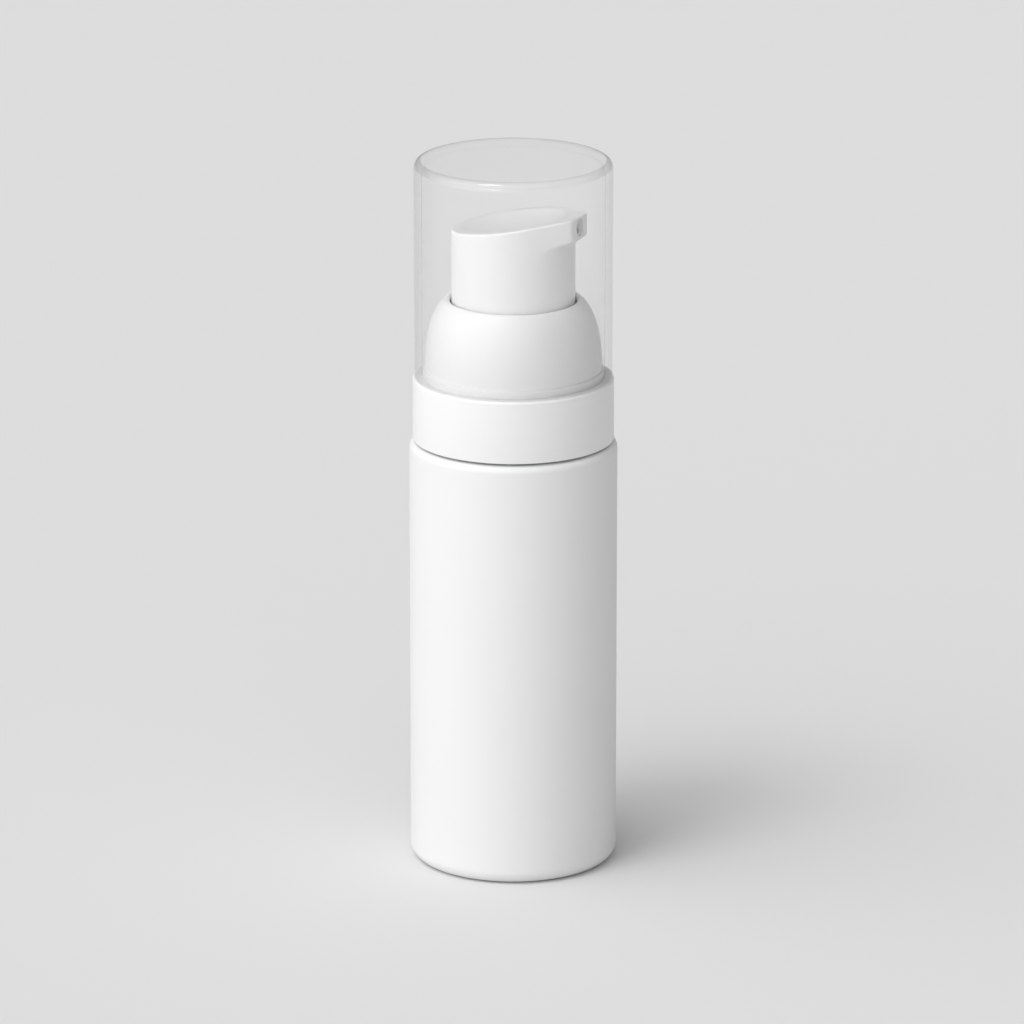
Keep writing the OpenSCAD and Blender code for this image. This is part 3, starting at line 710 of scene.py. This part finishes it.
    def bore_mouth(self, piece, size):
        """Cuts the round mouth that holds the nozzle, along the nozzle's own axis."""
        lo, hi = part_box("nozzle_insert")
        centre = np.array((lo + hi) / 2)
        pitch = self.nozzle_pitch
        sides = 64
        t = np.arange(sides) * 2 * math.pi / sides
        ends = np.array([-2.2 * MM, 5 * MM])
        along = np.array([math.cos(pitch), 0, math.sin(pitch)])
        up = np.array([-math.sin(pitch), 0, math.cos(pitch)])
        side = np.array([0, 1, 0])
        circle = size.mouth_radius * (np.cos(t)[:, None] * side + np.sin(t)[:, None] * up)
        middles = centre + ends[:, None] * along
        rings = middles[:, None] + circle
        points = np.concatenate([rings.reshape(-1, 3), middles])
        cutter = make_object("mouth_cutter", points, [
            grid_faces(2, sides), fan_faces(2 * sides, 0, sides, True),
            fan_faces(2 * sides + 1, sides, sides, False)])
        cut = piece.modifiers.new("mouth", "BOOLEAN")
        cut.operation = "DIFFERENCE"
        cut.solver = "EXACT"
        cut.object = cutter
        bpy.context.view_layer.update()
        shape = bpy.data.meshes.new_from_object(piece.evaluated_get(
            bpy.context.evaluated_depsgraph_get()))
        piece.modifiers.clear()
        old = piece.data
        piece.data = shape
        bpy.data.meshes.remove(old)
        bpy.data.objects.remove(cutter)
        shape.polygons.foreach_set("use_smooth", np.full(len(shape.polygons), True))
        shape.set_sharp_from_angle(angle=SHARP_ANGLE)


class PUMPBOTTLE_OT_overcap(Operator):
    """Add the clear cap, with its rounded top edge and the faint mark of its gate"""

    bl_idname = "pumpbottle.overcap"
    bl_label = "Clear Cap"

    inner_fillet = 0.7 * MM

    def execute(self, context):
        size = context.scene.pumpbottle_sizes
        # The foot stays clear of the collar's top, so that no two faces lie in one plane
        bottom, top = low("overcap").z + 0.08 * MM, high("overcap").z
        r = size.cap_radius
        bore = r - size.cap_wall
        roof = top - 1.3 * MM
        gate = top - 0.06 * MM
        outline = rounded([
            (0, roof, 0), (bore, roof, self.inner_fillet), (bore, bottom + 0.25 * MM, 0.1 * MM),
            (bore + 0.25 * MM, bottom, 0.08 * MM), (r, bottom, 0.12 * MM),
            (r, top, size.cap_fillet), (r - size.cap_fillet - 0.1 * MM, top, 0),
            (1.5 * MM, top, 0.2 * MM),
            (1.0 * MM, gate, 0.2 * MM), (0, gate, 0)], 10)
        piece = turned("cap_shell", outline, size.segments)
        self.mark_edges(piece, size, top, bore, roof)
        shell_of(piece, "cap", "clear_cap", clear_plastic(), "overcap")
        return {"FINISHED"}

    def mark_edges(self, piece, size, top, bore, roof):
        """Marks each point with how much painted shade darkens the plastic there when seen edge
        on:
        1 on the outer rounded edge, -1 on the inner one, 0.34 on the outer wall and 0 elsewhere."""
        where = places(piece)
        radius, height = np.hypot(where[:, 0], where[:, 1]), where[:, 2]
        near = 0.02 * MM
        outer = ((radius > size.cap_radius - size.cap_fillet + near)
                 & (height > top - size.cap_fillet + near))
        inner = ((radius > bore - self.inner_fillet + near) & (radius < bore + near)
                 & (height > roof - self.inner_fillet + near) & (height < roof + near))
        wall = radius > size.cap_radius - near
        value = np.select([outer, inner, wall], [1.0, -1.0, 0.34], 0.0)
        mark = piece.data.attributes.new(EDGE_SHADE_AND_COAT_MARK, "FLOAT", "POINT")
        mark.data.foreach_set("value", value)


class PUMPBOTTLE_OT_spring(Operator):
    """Add the round-wired return spring as a fixed coil; the real one closes up as the head is
    pressed
    """

    bl_idname = "pumpbottle.spring"
    bl_label = "Return Spring"

    def execute(self, context):
        lo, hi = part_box("return_spring")
        wire = 0.35 * MM
        mean = 4.2 * MM
        turns = 6.5
        close = 1.2 * MM
        z0, z1 = lo.z + wire, hi.z - wire
        steps = int(turns * 40)
        sides = 12
        # Height of the wire after t turns: close turns at both ends, open ones between
        t = np.linspace(0, turns, steps + 1)
        pitch = (z1 - z0 - 2 * close) / (turns - 2)
        z = z0 + np.minimum(t, 1) * close + np.clip(t - 1, 0, turns - 2) * pitch
        z += np.maximum(t - (turns - 1), 0) * close
        a = 2 * math.pi * t[:, None]
        b = 2 * math.pi * np.arange(sides)[None, :] / sides
        r = mean + wire * np.cos(b)
        points = np.stack([r * np.cos(a), r * np.sin(a), z[:, None] + wire * np.sin(b)], -1)
        ends = np.array([[mean * math.cos(x), mean * math.sin(x), h]
                         for x, h in ((a[0, 0], z[0]), (a[-1, 0], z[-1]))])
        total = (steps + 1) * sides
        faces = [
            grid_faces(steps + 1, sides)[:, ::-1], fan_faces(total, 0, sides, False),
            fan_faces(total + 1, steps * sides, sides, True)]
        piece = make_object("spring_coil", np.concatenate([points.reshape(-1, 3), ends]), faces)
        shell_of(piece, "pump", "steel", steel(), "return_spring")
        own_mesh(piece)
        return {"FINISHED"}


class PUMPBOTTLE_OT_engine(Operator):
    """Give the pump's inner parts, the chamber and the closure their moulded finishes"""

    bl_idname = "pumpbottle.engine"
    bl_label = "Inner Parts"

    def execute(self, context):
        finish = context.scene.pumpbottle_finish
        natural = tuple(finish.natural_colour)
        makers = {
            "natural_moulding": (natural, 0.36, 1500, 6e-6, 0.02,
                ("inner_chamber", "pump_housing", "housing_cap", "ball_cage")),
            "white_moulding": (tuple(finish.pump_colour), 0.34, 1700, 5e-6, 0.015,
                ("closure_nut", "stem", "stem_head", "valve_rod")),
            # Painted shade: the nozzle insert is a grey darker than the head, so that the spout's
            # mouth reads as dark as its shade
            "nozzle_grey_painted_mouth_shade": ((0.7, 0.7, 0.705), 0.4, 1700, 5e-6, 0.015, ("nozzle_insert",)),
            "soft_moulding": (tuple(c * 0.97 for c in natural), 0.45, 1200, 8e-6, 0.03,
                ("follower_piston", "pump_piston")),
            "soft_seal": ((0.5, 0.5, 0.51), 0.6, 2600, 9e-6, 0.05,
                ("neck_gasket", "stem_seal")),
        }
        for name, (colour, rough, scale, depth, spread, nodes) in makers.items():
            material = plastic(name, colour, rough, scale, depth, spread)
            for node in nodes:
                self.dress(node, material)
        self.dress("inlet_ball", steel())
        return {"FINISHED"}

    @staticmethod
    def dress(node, material):
        slots = NODES[node].data.materials
        slots.clear()
        slots.append(material)


def satin(context):
    """The smooth satin white of the pump parts, made once."""
    name = "satin_white_pump"
    made = bpy.data.materials.get(name)
    if made:
        return made
    colour = tuple(context.scene.pumpbottle_finish.pump_colour)
    return plastic(name, colour, 0.36, 2600, 2.5e-6, 0.01, 0.6)


class PUMPBOTTLE_OT_stage(Operator):
    """Add the pale floor, the soft lights and the camera"""

    bl_idname = "pumpbottle.stage"
    bl_label = "Studio"

    floor_half = 3.0
    sun_width = math.radians(19)
    sun_turn = math.radians(4)
    frame_shift = -1.4 / 1024

    def execute(self, context):
        scene = context.scene
        studio = scene.pumpbottle_studio
        self.add_floor(scene)
        self.add_lights(scene, studio)
        self.add_camera(scene, studio)
        scene.view_settings.view_transform = "Standard"
        return {"FINISHED"}

    def add_floor(self, scene):
        half = self.floor_half
        points = np.array([[-half, -half, 0], [half, -half, 0], [half, half, 0],
                           [-half, half, 0]])
        floor = make_object("studio_floor", points, [np.array([[0, 1, 2, 3]])], False)
        material, tree, shader, where = new_material("pale_floor")
        paper = add_noise(tree, where, 300, 3)
        colour = tuple(scene.pumpbottle_finish.floor_colour)
        tint(tree, paper, colour, 0.002, shader.inputs["Base Color"])
        shader.inputs["Roughness"].default_value = 0.9
        shader.inputs["Specular IOR Level"].default_value = 0.1
        floor.data.materials.append(material)

    def add_lights(self, scene, studio):
        """A room whose walls glow evenly, and more towards one side and the back by the square
        of the cosine of the angle from them, with a small sun over the glow at the side."""
        turn = studio.camera_azimuth - studio.glow_turn
        world = bpy.data.worlds.new("soft_room")
        world.use_nodes = True
        tree = world.node_tree
        back = tree.nodes["Background"]
        back.inputs["Color"].default_value = (1, 1, 1, 1)
        where = tree.nodes.new("ShaderNodeTexCoord")
        level = studio.ambient
        for toward, strength in (
                (direction(turn, studio.glow_height), studio.glow),
                (direction(studio.camera_azimuth + math.pi, studio.camera_elevation),
                 studio.back_glow)):
            cosine = tree.nodes.new("ShaderNodeVectorMath")
            cosine.operation = "DOT_PRODUCT"
            cosine.inputs[1].default_value = toward
            tree.links.new(where.outputs["Generated"], cosine.inputs[0])
            lobe = calculate(tree, "POWER",
                             calculate(tree, "MAXIMUM", cosine.outputs["Value"]), 2)
            level = calculate(tree, "ADD", calculate(tree, "MULTIPLY", lobe, strength), level)
        tree.links.new(level, back.inputs["Strength"])
        scene.world = world
        data = bpy.data.lights.new("key_light", "SUN")
        data.energy = studio.key_power
        data.angle = self.sun_width
        light = bpy.data.objects.new("key_light", data)
        scene.collection.objects.link(light)
        light.rotation_euler = aim(direction(turn + self.sun_turn, studio.key_height))

    def add_camera(self, scene, studio):
        data = bpy.data.cameras.new("studio_camera")
        data.lens = studio.lens
        data.sensor_width = 36
        data.clip_start = 0.05
        data.clip_end = 20
        camera = bpy.data.objects.new("studio_camera", data)
        scene.collection.objects.link(camera)
        toward = direction(studio.camera_azimuth, studio.camera_elevation)
        camera.location = studio.camera_distance * toward + [0, 0, studio.target_z]
        camera.rotation_euler = aim(toward)
        data.shift_x = self.frame_shift
        scene.camera = camera


def direction(turn, rise):
    """Unit vector at a turn from -Y to +X and a rise above the level."""
    return np.array([math.cos(rise) * math.sin(turn), -math.cos(rise) * math.cos(turn),
                     math.sin(rise)])


def aim(toward):
    """Rotation of a light or camera that looks back along a direction, kept upright."""
    tilt = math.acos(toward[2])
    turn = math.atan2(toward[1], toward[0]) + math.pi / 2
    return (tilt, 0, turn)


class PUMPBOTTLE_PT_panel(Panel):
    """Sizes, finishes and steps of the pump bottle"""

    bl_idname = "PUMPBOTTLE_PT_panel"
    bl_label = "Pump Bottle"
    bl_space_type = "VIEW_3D"
    bl_region_type = "UI"
    bl_category = "Pump Bottle"

    def draw(self, context):
        layout = self.layout
        scene = context.scene
        for title, group in (
                ("Shells", scene.pumpbottle_sizes), ("Head", scene.pumpbottle_head),
                ("Finish", scene.pumpbottle_finish), ("Studio", scene.pumpbottle_studio)):
            box = layout.box()
            box.label(text=title)
            for name in group.__annotations__:
                box.prop(group, name)
        for step in STEPS:
            layout.operator(step.bl_idname)


GROUPS = {
    "pumpbottle_sizes": BottleSizes,
    "pumpbottle_head": HeadSizes,
    "pumpbottle_finish": Finish,
    "pumpbottle_studio": Studio,
}
STEPS = (
    PUMPBOTTLE_OT_bottle,
    PUMPBOTTLE_OT_collar,
    PUMPBOTTLE_OT_shroud,
    PUMPBOTTLE_OT_head,
    PUMPBOTTLE_OT_overcap,
    PUMPBOTTLE_OT_spring,
    PUMPBOTTLE_OT_engine,
    PUMPBOTTLE_OT_stage,
)


def register():
    for cls in (*GROUPS.values(), *STEPS, PUMPBOTTLE_PT_panel):
        bpy.utils.register_class(cls)
    for name, group in GROUPS.items():
        setattr(bpy.types.Scene, name, PointerProperty(type=group))


def unregister():
    for name in GROUPS:
        delattr(bpy.types.Scene, name)
    for cls in (PUMPBOTTLE_PT_panel, *reversed(STEPS), *reversed(GROUPS.values())):
        bpy.utils.unregister_class(cls)


def main():
    register()
    bpy.ops.pumpbottle.bottle()
    bpy.ops.pumpbottle.collar()
    bpy.ops.pumpbottle.shroud()
    bpy.ops.pumpbottle.head()
    bpy.ops.pumpbottle.overcap()
    bpy.ops.pumpbottle.spring()
    bpy.ops.pumpbottle.engine()
    bpy.ops.pumpbottle.stage()


if __name__ == "__main__":
    main()
